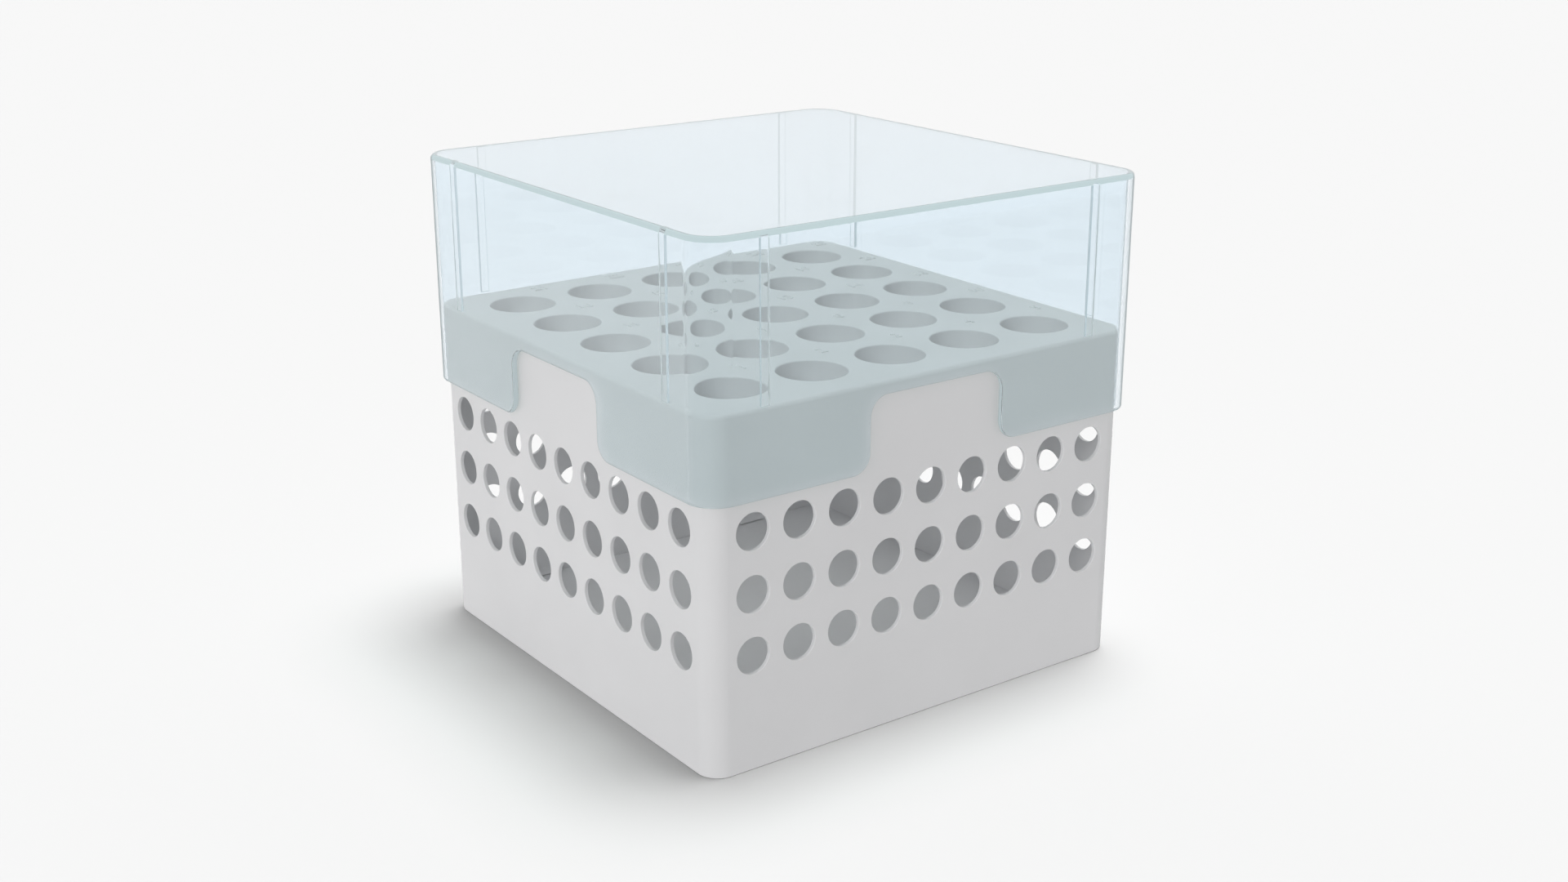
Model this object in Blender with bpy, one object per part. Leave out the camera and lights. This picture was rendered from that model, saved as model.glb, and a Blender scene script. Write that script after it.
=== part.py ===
"""Cold-storage box for 25 conical tubes: a vented rack shell, its snap-in floor plate and a clear lift-off lid.

Frame: metres, +Z up, origin at the centre of the box on the surface that it stands on.
"""
import bmesh
import bpy
from math import cos, pi, sin
from mathutils import Matrix

MM = 0.001

# Rack shell: four vented walls and the tube deck, one moulding that is open underneath
BASE_SIDE = 129.0 * MM
BASE_CORNER = 5.7 * MM
WALL = 1.0 * MM
DECK_TOP = 88.8 * MM
DECK_THICK = 1.5 * MM
DECK_EDGE = 1.0 * MM

# Tube positions
TUBES_PER_SIDE = 5
TUBE_PITCH = 23.7 * MM
TUBE_HOLE = 17.2 * MM
COLLAR_WALL = 1.0 * MM
COLLAR_DROP = 8.0 * MM

# Vent holes, the same grid in every wall
VENT_COLUMNS = 9
VENT_PITCH = 13.1 * MM
VENT_HOLE = 9.2 * MM
VENT_ROWS = (29.2 * MM, 44.5 * MM, 59.8 * MM)

# Floor plate, held between stop lugs above it and snap nubs below it
PLATE_BOTTOM = 1.6 * MM
PLATE_THICK = 1.6 * MM
FIT_GAP = 0.3 * MM
CATCH_WIDTH = 9.0 * MM
CATCH_SPREAD = 36.0 * MM
LUG_REACH = 2.0 * MM
LUG_HEIGHT = 1.5 * MM
NUB_REACH = 1.2 * MM
NUB_HEIGHT = 1.0 * MM

# Lid
LID_SIDE = 133.0 * MM
LID_CORNER = 8.0 * MM
LID_WALL = 1.5 * MM
LID_TOP = 128.8 * MM
LID_EDGE = 1.2 * MM
SKIRT_BOTTOM = 67.6 * MM
NOTCH_WIDTH = 40.2 * MM
NOTCH_TOP = 85.9 * MM
NOTCH_CORNER = 5.0 * MM
RIB_OFFSET = 49.6 * MM
RIB_WIDTH = 2.3 * MM
RIB_DEPTH = 0.8 * MM
RIB_ROUND = 0.2 * MM

# Facet counts
CORNER_STEPS = 6
EDGE_STEPS = 2
VENT_SIDES = 12
TUBE_SIDES = 16
NOTCH_STEPS = 4
RIB_STEPS = 2

# How far a cutter runs past the face that it cuts, and how far a joined piece reaches into its wall
OVERCUT = 3.0 * MM
BITE = 0.5 * MM


def clear_scene():
    for obj in list(bpy.data.objects):
        bpy.data.objects.remove(obj, do_unlink=True)


def material(name, colour, roughness, alpha=1.0):
    mat = bpy.data.materials.new(name)
    mat.use_nodes = True
    shader = mat.node_tree.nodes["Principled BSDF"]
    shader.inputs["Base Color"].default_value = (*colour, 1.0)
    shader.inputs["Roughness"].default_value = roughness
    shader.inputs["Metallic"].default_value = 0.0
    shader.inputs["Alpha"].default_value = alpha
    return mat


def mesh_object(name, bm, mat=None):
    """Turn a bmesh into an object with its faces pointing out and its flat faces kept flat."""
    bmesh.ops.recalc_face_normals(bm, faces=bm.faces)
    mesh = bpy.data.meshes.new(name)
    bm.to_mesh(mesh)
    bm.free()
    mesh.shade_smooth()
    mesh.set_sharp_from_angle(angle=pi / 6)
    if mat is not None:
        mesh.materials.append(mat)
    obj = bpy.data.objects.new(name, mesh)
    bpy.context.scene.collection.objects.link(obj)
    return obj


def boolean(obj, operation, name, bm):
    """Join or cut obj with a hidden helper shape."""
    helper = mesh_object(name, bm)
    helper.hide_render = True
    helper.display_type = 'WIRE'
    modifier = obj.modifiers.new(name, 'BOOLEAN')
    modifier.operation = operation
    modifier.solver = 'EXACT'
    modifier.object = helper


def rounded_square(half, radius):
    """Corner arcs of a rounded square, counter-clockwise from the +X side."""
    points = []
    for quarter in range(4):
        centre_angle = pi / 4 + quarter * pi / 2
        centre_x = (half - radius) * (1 if cos(centre_angle) > 0 else -1)
        centre_y = (half - radius) * (1 if sin(centre_angle) > 0 else -1)
        for step in range(CORNER_STEPS + 1):
            angle = quarter * pi / 2 + step / CORNER_STEPS * pi / 2
            points.append((centre_x + radius * cos(angle), centre_y + radius * sin(angle)))
    return points


def loft(profile):
    """Closed solid through rounded squares of (half side, corner radius, height), capped at both ends."""
    bm = bmesh.new()
    rings = []
    for half, radius, height in profile:
        rings.append([bm.verts.new((x, y, height)) for x, y in rounded_square(half, radius)])
    for lower, upper in zip(rings, rings[1:]):
        for index in range(len(lower)):
            following = (index + 1) % len(lower)
            bm.faces.new((lower[index], lower[following], upper[following], upper[index]))
    bm.faces.new(rings[0])
    bm.faces.new(rings[-1])
    return bm


def rounded_edge(half, radius, top, edge):
    """Profile of a side wall that turns over into a flat top through a quarter round."""
    points = []
    for step in range(EDGE_STEPS + 1):
        angle = step / EDGE_STEPS * pi / 2
        inset = edge * (1 - cos(angle))
        points.append((half - inset, radius - inset, top - edge + edge * sin(angle)))
    return points


def add_cylinder(bm, sides, diameter, length, matrix):
    bmesh.ops.create_cone(bm, cap_ends=True, segments=sides, radius1=diameter / 2, radius2=diameter / 2,
                          depth=length, matrix=matrix)


def add_prism(bm, outline, thickness, matrix):
    """Extrude an outline in the local XY plane by thickness along local +Z, then place it."""
    near = [bm.verts.new(matrix @ Matrix.Translation((x, y, 0)).translation) for x, y in outline]
    far = [bm.verts.new(matrix @ Matrix.Translation((x, y, thickness)).translation) for x, y in outline]
    bm.faces.new(near)
    bm.faces.new(far)
    for index in range(len(near)):
        following = (index + 1) % len(near)
        bm.faces.new((near[index], near[following], far[following], far[index]))


def centred(count, pitch):
    """Positions of count places at a pitch, centred on zero."""
    return [(index - (count - 1) / 2) * pitch for index in range(count)]


def quarter_turns():
    return [Matrix.Rotation(turn * pi / 2, 4, 'Z') for turn in range(4)]


# ---------------------------------------------------------------- rack shell

def tube_cylinders(diameter, bottom, top):
    bm = bmesh.new()
    for x in centred(TUBES_PER_SIDE, TUBE_PITCH):
        for y in centred(TUBES_PER_SIDE, TUBE_PITCH):
            place = Matrix.Translation((x, y, (bottom + top) / 2))
            add_cylinder(bm, TUBE_SIDES, diameter, top - bottom, place)
    return bm


def vent_cylinders(turn):
    """One wall's vent grid as bars that run through the opposite wall too."""
    bm = bmesh.new()
    bar = Matrix.Rotation(turn, 4, 'Z')
    for across in centred(VENT_COLUMNS, VENT_PITCH):
        for height in VENT_ROWS:
            place = bar @ Matrix.Translation((across, 0, height)) @ Matrix.Rotation(pi / 2, 4, 'X')
            add_cylinder(bm, VENT_SIDES, VENT_HOLE, BASE_SIDE + 2 * OVERCUT, place)
    return bm


def catches(low, high, reach_low, reach_high):
    """Two wedges on the inside of each wall, reaching inwards by reach_low at low and reach_high at high."""
    bm = bmesh.new()
    inner = BASE_SIDE / 2 - WALL
    outline = (
        (inner + BITE, low),
        (inner - reach_low, low),
        (inner - reach_high, high),
        (inner + BITE, high),
    )
    stand_up = Matrix.Rotation(pi / 2, 4, 'X')
    for turn in quarter_turns():
        for along in (-CATCH_SPREAD, CATCH_SPREAD):
            place = turn @ Matrix.Translation((0, along + CATCH_WIDTH / 2, 0)) @ stand_up
            add_prism(bm, outline, CATCH_WIDTH, place)
    return bm


def make_rack_shell(mat):
    half = BASE_SIDE / 2
    inner = (half - WALL, BASE_CORNER - WALL)
    profile = [(*inner, DECK_TOP - DECK_THICK), (*inner, 0.0), (half, BASE_CORNER, 0.0)]
    profile += rounded_edge(half, BASE_CORNER, DECK_TOP, DECK_EDGE)
    shell = mesh_object("rack_shell", loft(profile), mat)

    collar_bottom = DECK_TOP - DECK_THICK - COLLAR_DROP
    collars = tube_cylinders(TUBE_HOLE + 2 * COLLAR_WALL, collar_bottom, DECK_TOP - DECK_THICK + BITE)
    boolean(shell, 'UNION', "collar_stock", collars)
    wells = tube_cylinders(TUBE_HOLE, collar_bottom - OVERCUT, DECK_TOP + OVERCUT)
    boolean(shell, 'DIFFERENCE', "tube_hole_cutter", wells)
    boolean(shell, 'DIFFERENCE', "vent_cutter_y", vent_cylinders(0))
    boolean(shell, 'DIFFERENCE', "vent_cutter_x", vent_cylinders(pi / 2))

    lug_low = PLATE_BOTTOM + PLATE_THICK + FIT_GAP
    boolean(shell, 'UNION', "stop_lug_stock", catches(lug_low, lug_low + LUG_HEIGHT, LUG_REACH, 0.0))
    nub_high = PLATE_BOTTOM - FIT_GAP
    boolean(shell, 'UNION', "snap_nub_stock", catches(nub_high - NUB_HEIGHT, nub_high, 0.0, NUB_REACH))
    return shell


# ---------------------------------------------------------------- floor plate

def make_floor_plate(mat):
    half = BASE_SIDE / 2 - WALL - FIT_GAP
    radius = BASE_CORNER - WALL - FIT_GAP
    profile = [(half, radius, PLATE_BOTTOM), (half, radius, PLATE_BOTTOM + PLATE_THICK)]
    return mesh_object("floor_plate", loft(profile), mat)


# ---------------------------------------------------------------- lid

def notch_outline():
    """Finger notch in the skirt: round upper corners, and lower corners that flare out into the rim."""
    half = NOTCH_WIDTH / 2
    right = [(half + NOTCH_CORNER, SKIRT_BOTTOM - OVERCUT)]
    for step in range(NOTCH_STEPS + 1):
        angle = step / NOTCH_STEPS * pi / 2
        right.append((half + NOTCH_CORNER * (1 - sin(angle)), SKIRT_BOTTOM + NOTCH_CORNER * (1 - cos(angle))))
    for step in range(NOTCH_STEPS + 1):
        angle = step / NOTCH_STEPS * pi / 2
        right.append((half - NOTCH_CORNER * (1 - cos(angle)), NOTCH_TOP - NOTCH_CORNER * (1 - sin(angle))))
    left = [(-x, z) for x, z in reversed(right)]
    return right + left


def notch_cutter(turn):
    """One bar cuts the notches of two opposite walls."""
    bm = bmesh.new()
    length = LID_SIDE + 2 * OVERCUT
    place = Matrix.Rotation(turn, 4, 'Z') @ Matrix.Translation((0, length / 2, 0)) @ Matrix.Rotation(pi / 2, 4, 'X')
    add_prism(bm, notch_outline(), length, place)
    return bm


def rib_outline():
    """Cross-section of a rib on the +Y wall: a flat strip, rounded where its nose meets its flanks."""
    half = RIB_WIDTH / 2
    wall_face = LID_SIDE / 2 - LID_WALL
    nose = wall_face - RIB_DEPTH
    left = [(-half, wall_face + BITE)]
    for step in range(RIB_STEPS + 1):
        angle = step / RIB_STEPS * pi / 2
        left.append((-half + RIB_ROUND * (1 - cos(angle)), nose + RIB_ROUND * (1 - sin(angle))))
    right = [(-x, y) for x, y in reversed(left)]
    return left + right


def rib_stock():
    """Two ribs on the inside of each wall, from the underside of the top down to the deck that they stand on."""
    bm = bmesh.new()
    foot = DECK_TOP + FIT_GAP
    length = LID_TOP - LID_WALL + BITE - foot
    for turn in quarter_turns():
        for along in (-RIB_OFFSET, RIB_OFFSET):
            add_prism(bm, rib_outline(), length, turn @ Matrix.Translation((along, 0, foot)))
    return bm


def make_lid(mat):
    half = LID_SIDE / 2
    inner = (half - LID_WALL, LID_CORNER - LID_WALL)
    profile = [(*inner, LID_TOP - LID_WALL), (*inner, SKIRT_BOTTOM), (half, LID_CORNER, SKIRT_BOTTOM)]
    profile += rounded_edge(half, LID_CORNER, LID_TOP, LID_EDGE)
    lid = mesh_object("lid", loft(profile), mat)
    boolean(lid, 'UNION', "rib_stock", rib_stock())
    boolean(lid, 'DIFFERENCE', "notch_cutter_y", notch_cutter(0))
    boolean(lid, 'DIFFERENCE', "notch_cutter_x", notch_cutter(pi / 2))
    return lid


def main():
    clear_scene()
    rack_white = material("rack_polypropylene", (0.72, 0.72, 0.73), 0.45)
    lid_clear = material("lid_polycarbonate", (0.78, 0.9, 0.95), 0.06, alpha=0.3)
    make_rack_shell(rack_white)
    make_floor_plate(rack_white)
    lid = make_lid(lid_clear)

    lid_lift = bpy.data.objects.new("lid_lift", None)
    lid_lift.empty_display_size = 20 * MM
    bpy.context.scene.collection.objects.link(lid_lift)
    lid.parent = lid_lift


main()
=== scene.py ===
"""Looks of the cold-storage box: vented rack shell, floor plate, tube numbers and clear lift-off lid."""

from math import cos, pi, radians, sin

import bmesh
import bpy
from mathutils import Matrix, Vector


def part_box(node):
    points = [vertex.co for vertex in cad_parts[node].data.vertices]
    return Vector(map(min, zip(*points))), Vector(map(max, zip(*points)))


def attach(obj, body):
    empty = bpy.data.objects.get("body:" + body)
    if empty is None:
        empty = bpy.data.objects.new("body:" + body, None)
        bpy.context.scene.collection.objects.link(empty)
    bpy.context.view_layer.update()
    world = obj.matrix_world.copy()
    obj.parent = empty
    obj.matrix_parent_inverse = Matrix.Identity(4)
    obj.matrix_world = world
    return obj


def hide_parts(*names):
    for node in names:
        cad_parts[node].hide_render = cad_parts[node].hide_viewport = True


MM = 0.001

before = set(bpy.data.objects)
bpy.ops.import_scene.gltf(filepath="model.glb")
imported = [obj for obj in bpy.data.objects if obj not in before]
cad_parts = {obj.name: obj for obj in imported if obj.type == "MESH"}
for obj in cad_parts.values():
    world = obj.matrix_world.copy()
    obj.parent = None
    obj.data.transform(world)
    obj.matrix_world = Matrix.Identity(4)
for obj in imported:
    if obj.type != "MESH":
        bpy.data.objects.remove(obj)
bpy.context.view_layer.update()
shell_low, shell_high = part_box("rack_shell")
plate_low, plate_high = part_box("floor_plate")
lid_low, lid_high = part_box("lid")

# Rack shell
BASE_HALF = shell_high.x
DECK_TOP = shell_high.z
BASE_CORNER = 5.7 * MM
WALL = 1.0 * MM
DECK_THICK = 1.5 * MM
DECK_EDGE = 1.0 * MM
RIM_EDGE = 0.4 * MM

# Tube positions
TUBES_PER_SIDE = 5
TUBE_PITCH = 23.7 * MM
TUBE_HOLE = 17.2 * MM
TUBE_LIP = 0.35 * MM
COLLAR_WALL = 1.0 * MM
COLLAR_DROP = 8.0 * MM

# Vent holes, the same grid in every wall
VENT_COLUMNS = 9
VENT_PITCH = 13.1 * MM
VENT_HOLE = 9.2 * MM
VENT_LIP = 0.2 * MM
VENT_ROWS = (29.2 * MM, 44.5 * MM, 59.8 * MM)

# Catches that hold the floor plate
FIT_GAP = 0.3 * MM
CATCH_WIDTH = 9.0 * MM
CATCH_SPREAD = 36.0 * MM
LUG_REACH = 2.0 * MM
LUG_HEIGHT = 1.5 * MM
NUB_REACH = 1.2 * MM
NUB_HEIGHT = 1.0 * MM

# Floor plate
PLATE_EDGE = 0.3 * MM

# Numbers beside the tube positions
NUMBER_HEIGHT = 3.3 * MM
NUMBER_RAISE = 0.2 * MM
NUMBER_SINK = 0.05 * MM
NUMBER_BEVEL = 0.06 * MM
DIGIT_SHARE_OF_SIZE = 0.7

# Lid
LID_HALF = lid_high.x
LID_TOP = lid_high.z
SKIRT_BOTTOM = lid_low.z
LID_CORNER = 8.0 * MM
LID_INNER_CORNER = 6.5 * MM
LID_WALL = 1.5 * MM
LID_EDGE = 1.2 * MM
NOTCH_WIDTH = 40.2 * MM
NOTCH_TOP = 85.9 * MM
NOTCH_CORNER = 5.0 * MM
RIB_OFFSET = 49.6 * MM
RIB_WIDTH = 2.3 * MM
RIB_DEPTH = 0.8 * MM
RIB_ROUND = 0.2 * MM

# Facet counts, and the angle from which an edge looks sharp
SHARP_ANGLE = radians(32)
CORNER_STEPS = 16
EDGE_STEPS = 6
LIP_STEPS = 4
VENT_SIDES = 40
TUBE_SIDES = 72
NOTCH_STEPS = 12
RIB_STEPS = 5
RIM_STEPS = 8
NUMBER_STEPS = 6

# Rack plastic: its darkest and palest tint, its roughness and its relief; a pattern is
# (cells per metre, levels of detail)
RACK_TINTS = ((0.82, 0.82, 0.83), (0.85, 0.85, 0.86))
FLOW_PATTERN = (35.0, 3.0)
RACK_ROUGHNESS = (0.38, 0.48)
SMUDGE_PATTERN = (140.0, 4.0)
RACK_IOR = 1.49
GRAIN_PATTERN = (2600.0, 3.0)
GRAIN_DEPTH = 0.015 * MM
GRAIN_STRENGTH = 0.05
WAVE_PATTERN = (60.0, 1.0)
WAVE_DEPTH = 0.05 * MM
WAVE_STRENGTH = 0.5

# Lid plastic, and the colour of what shines through one face of it
LID_TINTS = ((0.886, 0.948, 0.988), (0.896, 0.958, 0.998))
CLOUD_PATTERN = (30.0, 2.0)
LID_ROUGHNESS = (0.01, 0.035)
POLISH_PATTERN = (90.0, 3.0)
LID_IOR = 1.5
LID_THROUGH = (0.86, 0.895, 0.885)

# Painted glow that stands in for light turned back inside the lid: its colour in the walls and in the top,
# its share at each turn, and the slants where that begins and is full
WALL_PAINTED_GLOW = (0.46, 0.52, 0.53)
TOP_PAINTED_GLOW = (0.565, 0.67, 0.68)
GLOW_SHARE = 0.7
GLOW_SLANT = (0.27, 0.45)

# The same painted glow for the outline of the lid's upright corners, where light passes a long way through
# them, and how far a face may lean back before it no longer counts as upright
OUTLINE_PAINTED_GLOW = (0.33, 0.38, 0.39)
OUTLINE_SHARE = 0.75
OUTLINE_SLANT = (0.64, 0.76)
OUTLINE_LEAN = (0.1, 0.9)

# Studio: radiances relative to a white of 1, and the directions in which they rise
FLOOR_HALF = 30.0
FLOOR_ALBEDO = 0.445
FLOOR_ROUGHNESS = 0.9
FLOOR_BOUNCE = 0.71
BACKDROP = 0.93
STUDIO_LEVEL = 0.66
STUDIO_SLOPE = (0.33, 0.42, -0.28)
MIRROR_LEVEL = 0.95
MIRROR_SLOPE = (0.10, 0.15, 0.0)

# Lamps: angles in degrees, azimuth 0 towards -Y and growing towards +X
KEY_AZIMUTH = 95
KEY_ELEVATION = 81
KEY_WIDTH = 32
KEY_ON_FLOOR = 5.49
KEY_ON_RACK = 0.89
FILL_AZIMUTH = -58
FILL_ELEVATION = 28
FILL_WIDTH = 30
FILL_ON_RACK = 1.27

# Camera: angles as for the lamps, lens and sensor in millimetres
CAMERA_AZIMUTH = -36.09
CAMERA_ELEVATION = 18.515
CAMERA_PLACE = (-0.28163, -0.39078, 0.21487)
CAMERA_LENS = 43.594
CAMERA_SENSOR = 36.0
CAMERA_NEAR = 0.01

# Light paths through the nested clear walls
BOUNCES = 16
DIFFUSE_BOUNCES = 10

# Overlaps that make the booleans clean, and the distance below which points are one
OVERCUT = 3.0 * MM
BITE = 0.5 * MM
MERGE = 0.001 * MM


# ---------------------------------------------------------------- mesh tools

def link(name, mesh):
    obj = bpy.data.objects.new(name, mesh)
    bpy.context.scene.collection.objects.link(obj)
    return obj


def mesh_object(name, bm):
    bmesh.ops.remove_doubles(bm, verts=bm.verts, dist=MERGE)
    bmesh.ops.recalc_face_normals(bm, faces=bm.faces)
    mesh = bpy.data.meshes.new(name)
    bm.to_mesh(mesh)
    bm.free()
    mesh.shade_smooth()
    mesh.set_sharp_from_angle(angle=SHARP_ANGLE)
    return link(name, mesh)


def keep_flats_flat(obj):
    """Large faces set the shading, so that the small rounds beside them don't bend it."""
    modifier = obj.modifiers.new("flat_faces", 'WEIGHTED_NORMAL')
    modifier.mode = 'FACE_AREA'
    modifier.weight = 100
    modifier.keep_sharp = True


def boolean(obj, operation, bm):
    helper = mesh_object("helper", bm)
    modifier = obj.modifiers.new(operation, 'BOOLEAN')
    modifier.operation = operation
    modifier.solver = 'EXACT'
    modifier.object = helper
    bpy.context.view_layer.update()
    evaluated = obj.evaluated_get(bpy.context.evaluated_depsgraph_get())
    mesh = bpy.data.meshes.new_from_object(evaluated)
    obj.modifiers.clear()
    obj.data = mesh
    bpy.data.objects.remove(helper, do_unlink=True)


def rounded_square(half, radius):
    """Corner arcs of a rounded square, counter-clockwise from the +X side."""
    points = []
    for quarter in range(4):
        centre_angle = pi / 4 + quarter * pi / 2
        centre_x = (half - radius) * (1 if cos(centre_angle) > 0 else -1)
        centre_y = (half - radius) * (1 if sin(centre_angle) > 0 else -1)
        for step in range(CORNER_STEPS + 1):
            angle = quarter * pi / 2 + step / CORNER_STEPS * pi / 2
            points.append((centre_x + radius * cos(angle), centre_y + radius * sin(angle)))
    return points


def ring(bm, points, height):
    return [bm.verts.new((x, y, height)) for x, y in points]


def bridge(bm, lower, upper):
    for index in range(len(lower)):
        following = (index + 1) % len(lower)
        bm.faces.new((lower[index], lower[following], upper[following], upper[index]))


def loft(profile):
    """Closed solid through rounded squares of (half side, corner radius, height), capped at both ends."""
    bm = bmesh.new()
    rings = [ring(bm, rounded_square(half, radius), height) for half, radius, height in profile]
    for lower, upper in zip(rings, rings[1:]):
        bridge(bm, lower, upper)
    bm.faces.new(rings[0])
    bm.faces.new(rings[-1])
    return bm


def rounded_edge(half, radius, level, edge, direction=1):
    """Profile of a side wall that turns over into a flat end through a quarter round, up or down."""
    points = []
    for step in range(EDGE_STEPS + 1):
        angle = step / EDGE_STEPS * pi / 2
        inset = edge * (1 - cos(angle))
        points.append((half - inset, radius - inset, level - direction * edge * (1 - sin(angle))))
    return points


def add_turned(bm, sides, profile, matrix):
    """Closed turned solid from (radius, height) points, capped at both ends."""
    spokes = [index / sides * 2 * pi for index in range(sides)]
    rings = []
    for radius, height in profile:
        points = [Vector((radius * cos(angle), radius * sin(angle), height)) for angle in spokes]
        rings.append([bm.verts.new(matrix @ point) for point in points])
    for lower, upper in zip(rings, rings[1:]):
        bridge(bm, lower, upper)
    bm.faces.new(rings[0])
    bm.faces.new(rings[-1])


def add_prism(bm, outline, thickness, matrix):
    """Extrude an outline in the local XY plane by thickness along local +Z, then place it."""
    near = [bm.verts.new(matrix @ Vector((x, y, 0))) for x, y in outline]
    far = [bm.verts.new(matrix @ Vector((x, y, thickness))) for x, y in outline]
    bm.faces.new(near)
    bm.faces.new(far)
    bridge(bm, near, far)


def centred(count, pitch):
    return [(index - (count - 1) / 2) * pitch for index in range(count)]


def quarter_turns():
    return [Matrix.Rotation(turn * pi / 2, 4, 'Z') for turn in range(4)]


# ---------------------------------------------------------------- rack shell

def lip(radius, level, size):
    """Quarter round that opens a hole of that radius out to the face at level."""
    points = []
    for step in range(LIP_STEPS + 1):
        angle = step / LIP_STEPS * pi / 2
        points.append((radius + size * (1 - cos(angle)), level - size * (1 - sin(angle))))
    return points


def tube_positions():
    return [(x, y) for y in centred(TUBES_PER_SIDE, TUBE_PITCH) for x in centred(TUBES_PER_SIDE, TUBE_PITCH)]


def collar_stock(bottom):
    bm = bmesh.new()
    radius = TUBE_HOLE / 2 + COLLAR_WALL
    for x, y in tube_positions():
        profile = [(radius, bottom), (radius, DECK_TOP - DECK_THICK + BITE)]
        add_turned(bm, TUBE_SIDES, profile, Matrix.Translation((x, y, 0)))
    return bm


def tube_cutters(bottom):
    bm = bmesh.new()
    radius = TUBE_HOLE / 2
    for x, y in tube_positions():
        profile = [(radius, bottom - OVERCUT)] + lip(radius, DECK_TOP, TUBE_LIP)
        profile.append((radius + TUBE_LIP, DECK_TOP + OVERCUT))
        add_turned(bm, TUBE_SIDES, profile, Matrix.Translation((x, y, 0)))
    return bm


def vent_cutters(turn):
    """One wall's vent grid as bars that run through the opposite wall too, with rounded mouths."""
    bm = bmesh.new()
    radius = VENT_HOLE / 2
    mouth = lip(radius, BASE_HALF, VENT_LIP)
    profile = [(radius + VENT_LIP, -BASE_HALF - OVERCUT)]
    profile += [(wide, -height) for wide, height in reversed(mouth)]
    profile += mouth
    profile.append((radius + VENT_LIP, BASE_HALF + OVERCUT))
    for across in centred(VENT_COLUMNS, VENT_PITCH):
        for height in VENT_ROWS:
            lie_down = Matrix.Rotation(pi / 2, 4, 'X')
            add_turned(bm, VENT_SIDES, profile, turn @ Matrix.Translation((across, 0, height)) @ lie_down)
    return bm


def catches(low, high, reach_low, reach_high):
    """Two wedges on the inside of each wall, reaching inwards by reach_low at low and reach_high at high."""
    bm = bmesh.new()
    inner = BASE_HALF - WALL
    outline = (
        (inner + BITE, low),
        (inner - reach_low, low),
        (inner - reach_high, high),
        (inner + BITE, high),
    )
    stand_up = Matrix.Rotation(pi / 2, 4, 'X')
    for turn in quarter_turns():
        for along in (-CATCH_SPREAD, CATCH_SPREAD):
            place = Matrix.Translation((0, along + CATCH_WIDTH / 2, 0))
            add_prism(bm, outline, CATCH_WIDTH, turn @ place @ stand_up)
    return bm


def make_shell():
    inner = (BASE_HALF - WALL, BASE_CORNER - WALL)
    profile = [(*inner, DECK_TOP - DECK_THICK), (*inner, 0.0)]
    profile += reversed(rounded_edge(BASE_HALF, BASE_CORNER, 0.0, RIM_EDGE, direction=-1))
    profile += rounded_edge(BASE_HALF, BASE_CORNER, DECK_TOP, DECK_EDGE)
    shell = mesh_object("vented_rack_shell", loft(profile))
    collar_bottom = DECK_TOP - DECK_THICK - COLLAR_DROP
    boolean(shell, 'UNION', collar_stock(collar_bottom))
    boolean(shell, 'DIFFERENCE', tube_cutters(collar_bottom))
    boolean(shell, 'DIFFERENCE', vent_cutters(Matrix.Identity(4)))
    boolean(shell, 'DIFFERENCE', vent_cutters(Matrix.Rotation(pi / 2, 4, 'Z')))
    lug_low = plate_high.z + FIT_GAP
    boolean(shell, 'UNION', catches(lug_low, lug_low + LUG_HEIGHT, LUG_REACH, 0.0))
    nub_high = plate_low.z - FIT_GAP
    boolean(shell, 'UNION', catches(nub_high - NUB_HEIGHT, nub_high, 0.0, NUB_REACH))
    shell.data.shade_smooth()
    shell.data.set_sharp_from_angle(angle=SHARP_ANGLE)
    keep_flats_flat(shell)
    return shell


# ---------------------------------------------------------------- floor plate and numbers

def make_plate():
    half = plate_high.x
    radius = BASE_CORNER - WALL - FIT_GAP
    profile = list(reversed(rounded_edge(half, radius, plate_low.z, PLATE_EDGE, direction=-1)))
    profile += rounded_edge(half, radius, plate_high.z, PLATE_EDGE)
    plate = mesh_object("snap_in_floor", loft(profile))
    keep_flats_flat(plate)
    return plate


def make_numbers():
    """Position numbers 1 to 25, raised on the deck on the diagonal between four holes."""
    bm = bmesh.new()
    for index, (x, y) in enumerate(tube_positions()):
        curve = bpy.data.curves.new("number", 'FONT')
        curve.body = str(index + 1)
        curve.size = NUMBER_HEIGHT / DIGIT_SHARE_OF_SIZE
        curve.align_x = 'CENTER'
        curve.align_y = 'CENTER'
        curve.extrude = (NUMBER_RAISE + NUMBER_SINK) / 2
        curve.bevel_depth = NUMBER_BEVEL
        curve.resolution_u = NUMBER_STEPS
        helper = link("number", curve)
        level = DECK_TOP + (NUMBER_RAISE - NUMBER_SINK) / 2
        helper.location = (x + TUBE_PITCH / 2, y + TUBE_PITCH / 2, level)
        bpy.context.view_layer.update()
        mesh = helper.to_mesh()
        mesh.transform(helper.matrix_world)
        bm.from_mesh(mesh)
        helper.to_mesh_clear()
        bpy.data.objects.remove(helper, do_unlink=True)
        bpy.data.curves.remove(curve)
    return mesh_object("tube_numbers", bm)


# ---------------------------------------------------------------- lid

def corner_radius(out):
    """Corner radius of the lid's wall at a distance out from the middle, between its two faces."""
    depth = (LID_HALF - out) / LID_WALL
    return LID_CORNER + depth * (LID_INNER_CORNER - LID_CORNER)


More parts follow.
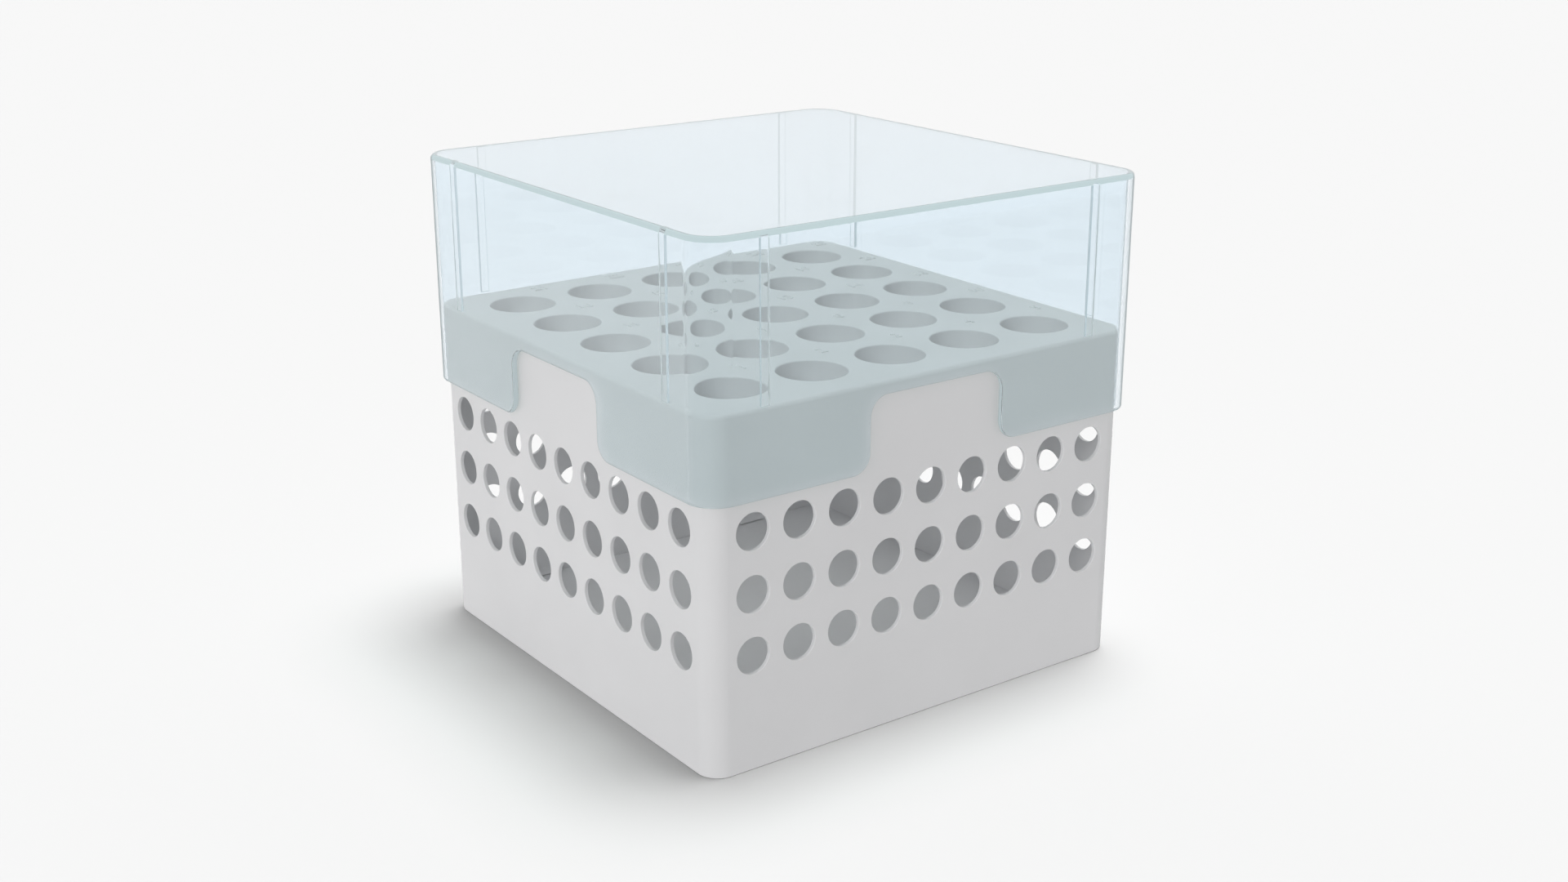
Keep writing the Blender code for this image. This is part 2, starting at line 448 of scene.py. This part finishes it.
def rim_path(reach):
    """One side's lower edge from left to right: (along, height, outward along, outward height)."""
    half = NOTCH_WIDTH / 2
    left = [(-reach, SKIRT_BOTTOM, 0.0, -1.0)]
    angles = [step / NOTCH_STEPS * pi / 2 for step in range(NOTCH_STEPS + 1)]
    centre = (-half - NOTCH_CORNER, SKIRT_BOTTOM + NOTCH_CORNER)
    for angle in angles:
        out, down = sin(angle), -cos(angle)
        left.append((centre[0] + NOTCH_CORNER * out, centre[1] + NOTCH_CORNER * down, out, down))
    centre = (-half + NOTCH_CORNER, NOTCH_TOP - NOTCH_CORNER)
    for angle in angles:
        out, down = cos(angle), -sin(angle)
        left.append((centre[0] - NOTCH_CORNER * out, centre[1] - NOTCH_CORNER * down, out, down))
    right = [(-along, height, -out, down) for along, height, out, down in reversed(left)]
    return left + right


def rib_outline(wall_face):
    """Cross-section of a rib on the +Y wall, from one root to the other round its flat nose."""
    half = RIB_WIDTH / 2
    nose = wall_face - RIB_DEPTH
    left = [(-half, wall_face)]
    for step in range(RIB_STEPS + 1):
        angle = step / RIB_STEPS * pi / 2
        left.append((-half + RIB_ROUND * (1 - cos(angle)), nose + RIB_ROUND * (1 - sin(angle))))
    right = [(-x, y) for x, y in reversed(left)]
    return left + right


def add_lid_side(bm, turn):
    """Outer face, rounded lower edge and ribbed inner face of the wall on the +Y side, turned into place."""
    def vert(along, out, height):
        return bm.verts.new(turn @ Vector((along, out, height)))

    middle = LID_HALF - LID_WALL / 2
    round_radius = LID_WALL / 2
    rows = []
    for step in range(RIM_STEPS + 1):
        angle = step / RIM_STEPS * pi
        inset = round_radius * (1 - sin(angle))
        out = middle + round_radius * cos(angle)
        path = rim_path(out - corner_radius(out))
        rows.append([vert(a - inset * n_a, out, h - inset * n_h) for a, h, n_a, n_h in path])
    for outer, inner in zip(rows, rows[1:]):
        for index in range(len(outer) - 1):
            bm.faces.new((outer[index], outer[index + 1], inner[index + 1], inner[index]))
    shoulder = LID_TOP - LID_EDGE
    reach = LID_HALF - LID_CORNER
    bm.faces.new(rows[0] + [vert(reach, LID_HALF, shoulder), vert(-reach, LID_HALF, shoulder)])

    wall_face = LID_HALF - LID_WALL
    ceiling = LID_TOP - LID_WALL
    foot = DECK_TOP + FIT_GAP
    reach = wall_face - LID_INNER_CORNER
    upper = [vert(reach, wall_face, ceiling)]
    for along in (RIB_OFFSET, -RIB_OFFSET):
        section = [(along + x, y) for x, y in rib_outline(wall_face)]
        low = [vert(x, y, foot) for x, y in section]
        high = [vert(x, y, ceiling) for x, y in section]
        for index in range(len(section) - 1):
            bm.faces.new((low[index], low[index + 1], high[index + 1], high[index]))
        bm.faces.new(low)
        upper += [high[-1], low[-1], low[0], high[0]]
    upper.append(vert(-reach, wall_face, ceiling))
    bm.faces.new(rows[-1] + upper)


def add_lid_corner(bm, turn):
    """The vertical corner between the +X and +Y walls, turned into place."""
    round_radius = LID_WALL / 2
    profile = [(LID_HALF, LID_TOP - LID_EDGE)]
    for step in range(RIM_STEPS + 1):
        angle = step / RIM_STEPS * pi
        out = LID_HALF - round_radius * (1 - cos(angle))
        profile.append((out, SKIRT_BOTTOM + round_radius * (1 - sin(angle))))
    profile.append((LID_HALF - LID_WALL, LID_TOP - LID_WALL))
    columns = []
    for step in range(CORNER_STEPS + 1):
        angle = step / CORNER_STEPS * pi / 2
        column = []
        for out, height in profile:
            radius = corner_radius(out)
            centre = out - radius
            point = Vector((centre + radius * cos(angle), centre + radius * sin(angle), height))
            column.append(bm.verts.new(turn @ point))
        columns.append(column)
    for near, far in zip(columns, columns[1:]):
        for index in range(len(profile) - 1):
            bm.faces.new((near[index], far[index], far[index + 1], near[index + 1]))


def add_lid_top(bm):
    """Rounded upper edge, flat top and the ceiling, which is notched for the ribs' upper ends."""
    rings = []
    for half, radius, height in rounded_edge(LID_HALF, LID_CORNER, LID_TOP, LID_EDGE):
        rings.append(ring(bm, rounded_square(half, radius), height))
    for lower, upper in zip(rings, rings[1:]):
        bridge(bm, lower, upper)
    bm.faces.new(rings[-1])

    wall_face = LID_HALF - LID_WALL
    outline = []
    corners = rounded_square(wall_face, LID_INNER_CORNER)
    per_corner = CORNER_STEPS + 1
    for side in range(4):
        outline += [Vector((x, y, 0)) for x, y in corners[side * per_corner:(side + 1) * per_corner]]
        turn = Matrix.Rotation(side * pi / 2, 4, 'Z')
        for along in (RIB_OFFSET, -RIB_OFFSET):
            section = [(along + x, y) for x, y in reversed(rib_outline(wall_face))]
            outline += [turn @ Vector((x, y, 0)) for x, y in section]
    bm.faces.new([bm.verts.new((p.x, p.y, LID_TOP - LID_WALL)) for p in outline])


def make_lid():
    bm = bmesh.new()
    for turn in quarter_turns():
        add_lid_side(bm, turn)
        add_lid_corner(bm, turn)
    add_lid_top(bm)
    lid = mesh_object("clear_lid", bm)
    keep_flats_flat(lid)
    return lid


# ---------------------------------------------------------------- materials

def new_material(name):
    mat = bpy.data.materials.new(name)
    mat.use_nodes = True
    nodes = mat.node_tree.nodes
    return mat, nodes, mat.node_tree.links, nodes["Principled BSDF"]


def noise(nodes, links, place, pattern):
    node = nodes.new("ShaderNodeTexNoise")
    node.inputs["Scale"].default_value, node.inputs["Detail"].default_value = pattern
    links.new(place, node.inputs["Vector"])
    return node.outputs["Fac"]


def remap(nodes, links, value, source, target):
    """Turn a value that runs from source[0] to source[1] into one from target[0] to target[1]."""
    node = nodes.new("ShaderNodeMapRange")
    node.inputs["From Min"].default_value = source[0]
    node.inputs["From Max"].default_value = source[1]
    node.inputs["To Min"].default_value = target[0]
    node.inputs["To Max"].default_value = target[1]
    links.new(value, node.inputs["Value"])
    return node.outputs["Result"]


def spread(nodes, links, value, target=(0.0, 1.0)):
    """Turn a noise value, most of which lies between 0.3 and 0.7, into a range."""
    return remap(nodes, links, value, (0.3, 0.7), target)


def calculate(nodes, links, operation, *values):
    """The result of one operation on values, each a number or another node's output."""
    node = nodes.new("ShaderNodeMath")
    node.operation = operation
    for socket, value in zip(node.inputs, values):
        if isinstance(value, float):
            socket.default_value = value
        else:
            links.new(value, socket)
    return node.outputs["Value"]


def mix_colours(nodes, links, share, low, high):
    """Go from one colour to another, each a triple of numbers or another node's output."""
    node = nodes.new("ShaderNodeMix")
    node.data_type = 'RGBA'
    links.new(share, node.inputs["Factor"])
    for name, colour in (("A", low), ("B", high)):
        if isinstance(colour, tuple):
            node.inputs[name].default_value = (*colour, 1.0)
        else:
            links.new(colour, node.inputs[name])
    return node.outputs["Result"]


def split(nodes, links, vector):
    """The X, Y and Z outputs of a vector."""
    node = nodes.new("ShaderNodeSeparateXYZ")
    links.new(vector, node.inputs["Vector"])
    return node.outputs


def bump(nodes, links, height, depth, strength, normal=None):
    """Relief of that depth, on top of another relief's normal if there is one."""
    node = nodes.new("ShaderNodeBump")
    node.inputs["Strength"].default_value = strength
    node.inputs["Distance"].default_value = depth
    links.new(height, node.inputs["Height"])
    if normal:
        links.new(normal, node.inputs["Normal"])
    return node.outputs["Normal"]


def choose(nodes, links, test, shader, other):
    """One shader where the test is 1 and the other where it is 0."""
    mix = nodes.new("ShaderNodeMixShader")
    links.new(test, mix.inputs["Fac"])
    links.new(other, mix.inputs[1])
    links.new(shader, mix.inputs[2])
    return mix.outputs["Shader"]


def moulded_white(name):
    """Satin polypropylene: faint flow shading, fine spark-eroded grain and slow sink waves."""
    mat, nodes, links, shader = new_material(name)
    place = nodes.new("ShaderNodeTexCoord").outputs["Object"]
    flow = noise(nodes, links, place, FLOW_PATTERN)
    tint = mix_colours(nodes, links, spread(nodes, links, flow), *RACK_TINTS)
    links.new(tint, shader.inputs["Base Color"])
    smudge = noise(nodes, links, place, SMUDGE_PATTERN)
    links.new(spread(nodes, links, smudge, RACK_ROUGHNESS), shader.inputs["Roughness"])
    shader.inputs["IOR"].default_value = RACK_IOR

    grain = bump(nodes, links, noise(nodes, links, place, GRAIN_PATTERN), GRAIN_DEPTH, GRAIN_STRENGTH)
    waves = bump(nodes, links, noise(nodes, links, place, WAVE_PATTERN), WAVE_DEPTH, WAVE_STRENGTH, grain)
    links.new(waves, shader.inputs["Normal"])
    return mat


def painted_lid_glow(nodes, links, place):
    """Painted glow, an emission that stands for light guided inside the lid, and its share in what is seen.
    """
    slant = nodes.new("ShaderNodeLayerWeight").outputs["Facing"]
    geometry = nodes.new("ShaderNodeNewGeometry")
    inside = geometry.outputs["Backfacing"]
    share = nodes.new("ShaderNodeMix")
    links.new(inside, share.inputs["Factor"])
    outline = remap(nodes, links, slant, OUTLINE_SLANT, (0.0, OUTLINE_SHARE))
    lean = split(nodes, links, geometry.outputs["Normal"])["Z"]
    upright = remap(nodes, links, lean, OUTLINE_LEAN, (1.0, 0.0))
    links.new(calculate(nodes, links, 'MULTIPLY', outline, upright), share.inputs["A"])
    links.new(remap(nodes, links, slant, GLOW_SLANT, (0.0, GLOW_SHARE)), share.inputs["B"])

    height = split(nodes, links, place)["Z"]
    in_top = calculate(nodes, links, 'GREATER_THAN', height, LID_TOP - LID_WALL - RIM_EDGE)
    inner_glow = mix_colours(nodes, links, in_top, WALL_PAINTED_GLOW, TOP_PAINTED_GLOW)
    # Painted glow: an emission in the lid's own surface, in place of light guided inside its walls and along
    # its outlines
    glow = nodes.new("ShaderNodeEmission")
    links.new(mix_colours(nodes, links, inside, OUTLINE_PAINTED_GLOW, inner_glow), glow.inputs["Color"])
    return glow.outputs["Emission"], share.outputs["Result"]


def clear_polycarbonate():
    """Clear, faintly blue polycarbonate with a polish that varies a little.

    Lamps and bounced light shine through it. Each time that light is turned back inside a wall, as
    it is behind the edges and ribs, some of it gives way to a painted, even grey-green glow.
    """
    mat, nodes, links, shader = new_material("lid_polycarbonate_clear")
    place = nodes.new("ShaderNodeTexCoord").outputs["Object"]
    clouds = spread(nodes, links, noise(nodes, links, place, CLOUD_PATTERN))
    links.new(mix_colours(nodes, links, clouds, *LID_TINTS), shader.inputs["Base Color"])
    polish = spread(nodes, links, noise(nodes, links, place, POLISH_PATTERN), LID_ROUGHNESS)
    links.new(polish, shader.inputs["Roughness"])
    shader.inputs["IOR"].default_value = LID_IOR
    shader.inputs["Transmission Weight"].default_value = 1.0
    # Painted glow mixed into the clear plastic where light would be turned back inside it
    glow, share = painted_lid_glow(nodes, links, place)
    surface = choose(nodes, links, share, glow, shader.outputs["BSDF"])

    path = nodes.new("ShaderNodeLightPath")
    through = nodes.new("ShaderNodeBsdfTransparent")
    through.inputs["Color"].default_value = (*LID_THROUGH, 1.0)
    for kind in ("Is Diffuse Ray", "Is Shadow Ray"):
        surface = choose(nodes, links, path.outputs[kind], through.outputs["BSDF"], surface)
    links.new(surface, nodes["Material Output"].inputs["Surface"])
    return mat


# ---------------------------------------------------------------- stage, light and camera

def make_floor():
    """Pale floor that lights the box evenly, as if the box cast no shadow on it."""
    bm = bmesh.new()
    bmesh.ops.create_grid(bm, x_segments=1, y_segments=1, size=FLOOR_HALF)
    floor = mesh_object("studio_floor", bm)
    mat, nodes, links, shader = new_material("studio_floor_pale")
    shader.inputs["Base Color"].default_value = (FLOOR_ALBEDO, FLOOR_ALBEDO, FLOOR_ALBEDO, 1.0)
    shader.inputs["Roughness"].default_value = FLOOR_ROUGHNESS
    shader.inputs["Specular IOR Level"].default_value = 0.0
    glow = nodes.new("ShaderNodeEmission")
    glow.inputs["Color"].default_value = (1.0, 1.0, 1.0, 1.0)
    glow.inputs["Strength"].default_value = FLOOR_BOUNCE
    ray = nodes.new("ShaderNodeLightPath").outputs["Is Diffuse Ray"]
    surface = choose(nodes, links, ray, glow.outputs["Emission"], shader.outputs["BSDF"])
    links.new(surface, nodes["Material Output"].inputs["Surface"])
    floor.data.materials.append(mat)
    return floor


def sky(nodes, links, level, slope):
    """Background whose strength rises along slope."""
    direction = nodes.new("ShaderNodeTexCoord").outputs["Generated"]
    rise = nodes.new("ShaderNodeVectorMath")
    rise.operation = 'DOT_PRODUCT'
    rise.inputs[1].default_value = slope
    links.new(direction, rise.inputs[0])
    strength = calculate(nodes, links, 'ADD', rise.outputs["Value"], level)
    background = nodes.new("ShaderNodeBackground")
    links.new(strength, background.inputs["Strength"])
    return background.outputs["Background"]


def make_world():
    """White backdrop, a soft studio as light, and a more even one in mirror images and through plastic."""
    world = bpy.data.worlds.new("studio")
    bpy.context.scene.world = world
    world.use_nodes = True
    nodes, links = world.node_tree.nodes, world.node_tree.links
    backdrop = nodes["Background"]
    backdrop.inputs["Color"].default_value = (BACKDROP, BACKDROP, BACKDROP, 1.0)
    path = nodes.new("ShaderNodeLightPath")
    light = sky(nodes, links, STUDIO_LEVEL, STUDIO_SLOPE)
    mirrored = sky(nodes, links, MIRROR_LEVEL, MIRROR_SLOPE)
    seen = choose(nodes, links, path.outputs["Is Glossy Ray"], mirrored, light)
    seen = choose(nodes, links, path.outputs["Is Transmission Ray"], mirrored, seen)
    seen = choose(nodes, links, path.outputs["Is Camera Ray"], backdrop.outputs["Background"], seen)
    links.new(seen, nodes["World Output"].inputs["Surface"])


def towards(azimuth, elevation):
    """Unit vector from the box towards a direction given in degrees."""
    azimuth, elevation = radians(azimuth), radians(elevation)
    return Vector((sin(azimuth) * cos(elevation), -cos(azimuth) * cos(elevation), sin(elevation)))


def add_sun(name, azimuth, elevation, width, strength, lit):
    """A wide, soft lamp far away that lights only the objects given."""
    light = bpy.data.lights.new(name, 'SUN')
    light.angle = radians(width)
    light.energy = strength
    sun = link(name, light)
    receivers = bpy.data.collections.new(name + "_receivers")
    for obj in lit:
        receivers.objects.link(obj)
    sun.light_linking.receiver_collection = receivers
    sun.rotation_euler = towards(azimuth, elevation).to_track_quat('Z', 'Y').to_euler()


def make_camera():
    camera_data = bpy.data.cameras.new("camera")
    camera_data.sensor_width = CAMERA_SENSOR
    camera_data.lens = CAMERA_LENS
    camera_data.clip_start = CAMERA_NEAR
    camera = link("camera", camera_data)
    camera.location = CAMERA_PLACE
    back = towards(CAMERA_AZIMUTH, CAMERA_ELEVATION)
    camera.rotation_euler = back.to_track_quat('Z', 'Y').to_euler()
    bpy.context.scene.camera = camera


def set_rendering():
    scene = bpy.context.scene
    scene.view_settings.view_transform = 'Standard'
    cycles = scene.cycles
    cycles.max_bounces = BOUNCES
    cycles.transmission_bounces = BOUNCES
    cycles.transparent_max_bounces = BOUNCES
    cycles.glossy_bounces = BOUNCES
    cycles.diffuse_bounces = DIFFUSE_BOUNCES


def main():
    white = moulded_white("rack_polypropylene_satin")
    floor_white = moulded_white("floor_polypropylene_satin")
    clear = clear_polycarbonate()

    shell = make_shell()
    shell.data.materials.clear()
    shell.data.materials.append(white)
    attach(shell, "rack")
    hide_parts("rack_shell")

    numbers = make_numbers()
    numbers.data.materials.append(white)
    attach(numbers, "rack")

    plate = make_plate()
    plate.data.materials.append(floor_white)
    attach(plate, "rack")
    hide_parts("floor_plate")

    lid = make_lid()
    lid.data.materials.append(clear)
    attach(lid, "lid")
    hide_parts("lid")

    floor = make_floor()
    rack = [shell, numbers, plate]
    make_world()
    add_sun("floor_key", KEY_AZIMUTH, KEY_ELEVATION, KEY_WIDTH, KEY_ON_FLOOR, [floor])
    add_sun("rack_key", KEY_AZIMUTH, KEY_ELEVATION, KEY_WIDTH, KEY_ON_RACK, rack)
    add_sun("rack_fill", FILL_AZIMUTH, FILL_ELEVATION, FILL_WIDTH, FILL_ON_RACK, rack)
    make_camera()
    set_rendering()


main()
